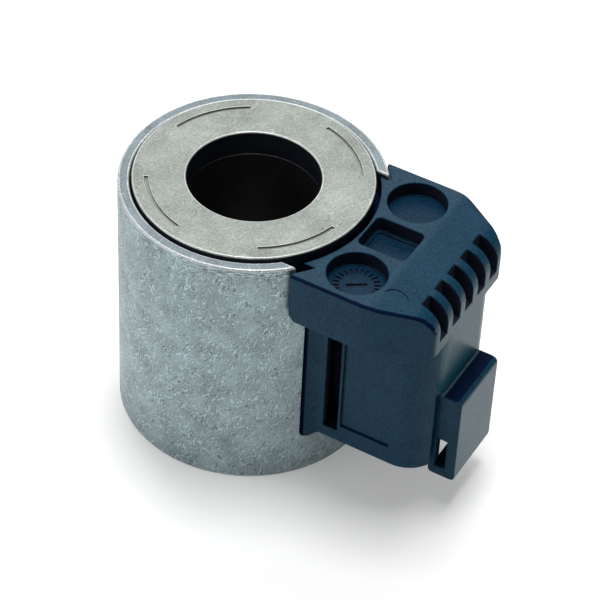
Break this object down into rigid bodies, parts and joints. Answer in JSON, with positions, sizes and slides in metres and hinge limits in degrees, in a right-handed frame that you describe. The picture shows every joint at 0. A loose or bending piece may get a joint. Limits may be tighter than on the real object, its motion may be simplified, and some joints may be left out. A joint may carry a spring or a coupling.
{
  "type": "solenoid coil",
  "caption": "Solenoid coil for a hydraulic cartridge valve: slotted steel tube with pole plates, a clear bore and a moulded receptacle with a ribbed grip and a latch cage beside it.",
  "frame": {"origin": "centre of the bore in the plane of the coil's base", "axes": "+Z along the bore towards the stamped plate, +X from the bore to the connector"},
  "size_m": [0.0541, 0.0364, 0.0393],
  "materials": {
    "yoke_steel": "tumbled, zinc plated, satin with fine scuffs",
    "plate_steel": "stamped and plated, satin",
    "bobbin_plastic": "glass-filled nylon, matt",
    "copper_wire": "enamelled copper",
    "wrap_tape": "polyester tape",
    "terminal_brass": "stamped brass, plain",
    "pin_tin": "bright tin plate",
    "housing_plastic": "dark slate moulding, fine grain, satin"
  },
  "bodies": {
    "root": {"yoke_tube": "yoke_steel", "upper_pole_plate": "plate_steel", "lower_pole_plate": "plate_steel", "bobbin": "bobbin_plastic", "winding": "copper_wire", "winding_wrap": "wrap_tape", "start_lead": "copper_wire", "finish_lead": "copper_wire", "start_terminal": "terminal_brass", "finish_terminal": "terminal_brass", "start_pin": "pin_tin", "finish_pin": "pin_tin", "connector_housing": "housing_plastic"}
  },
  "joints": []
}
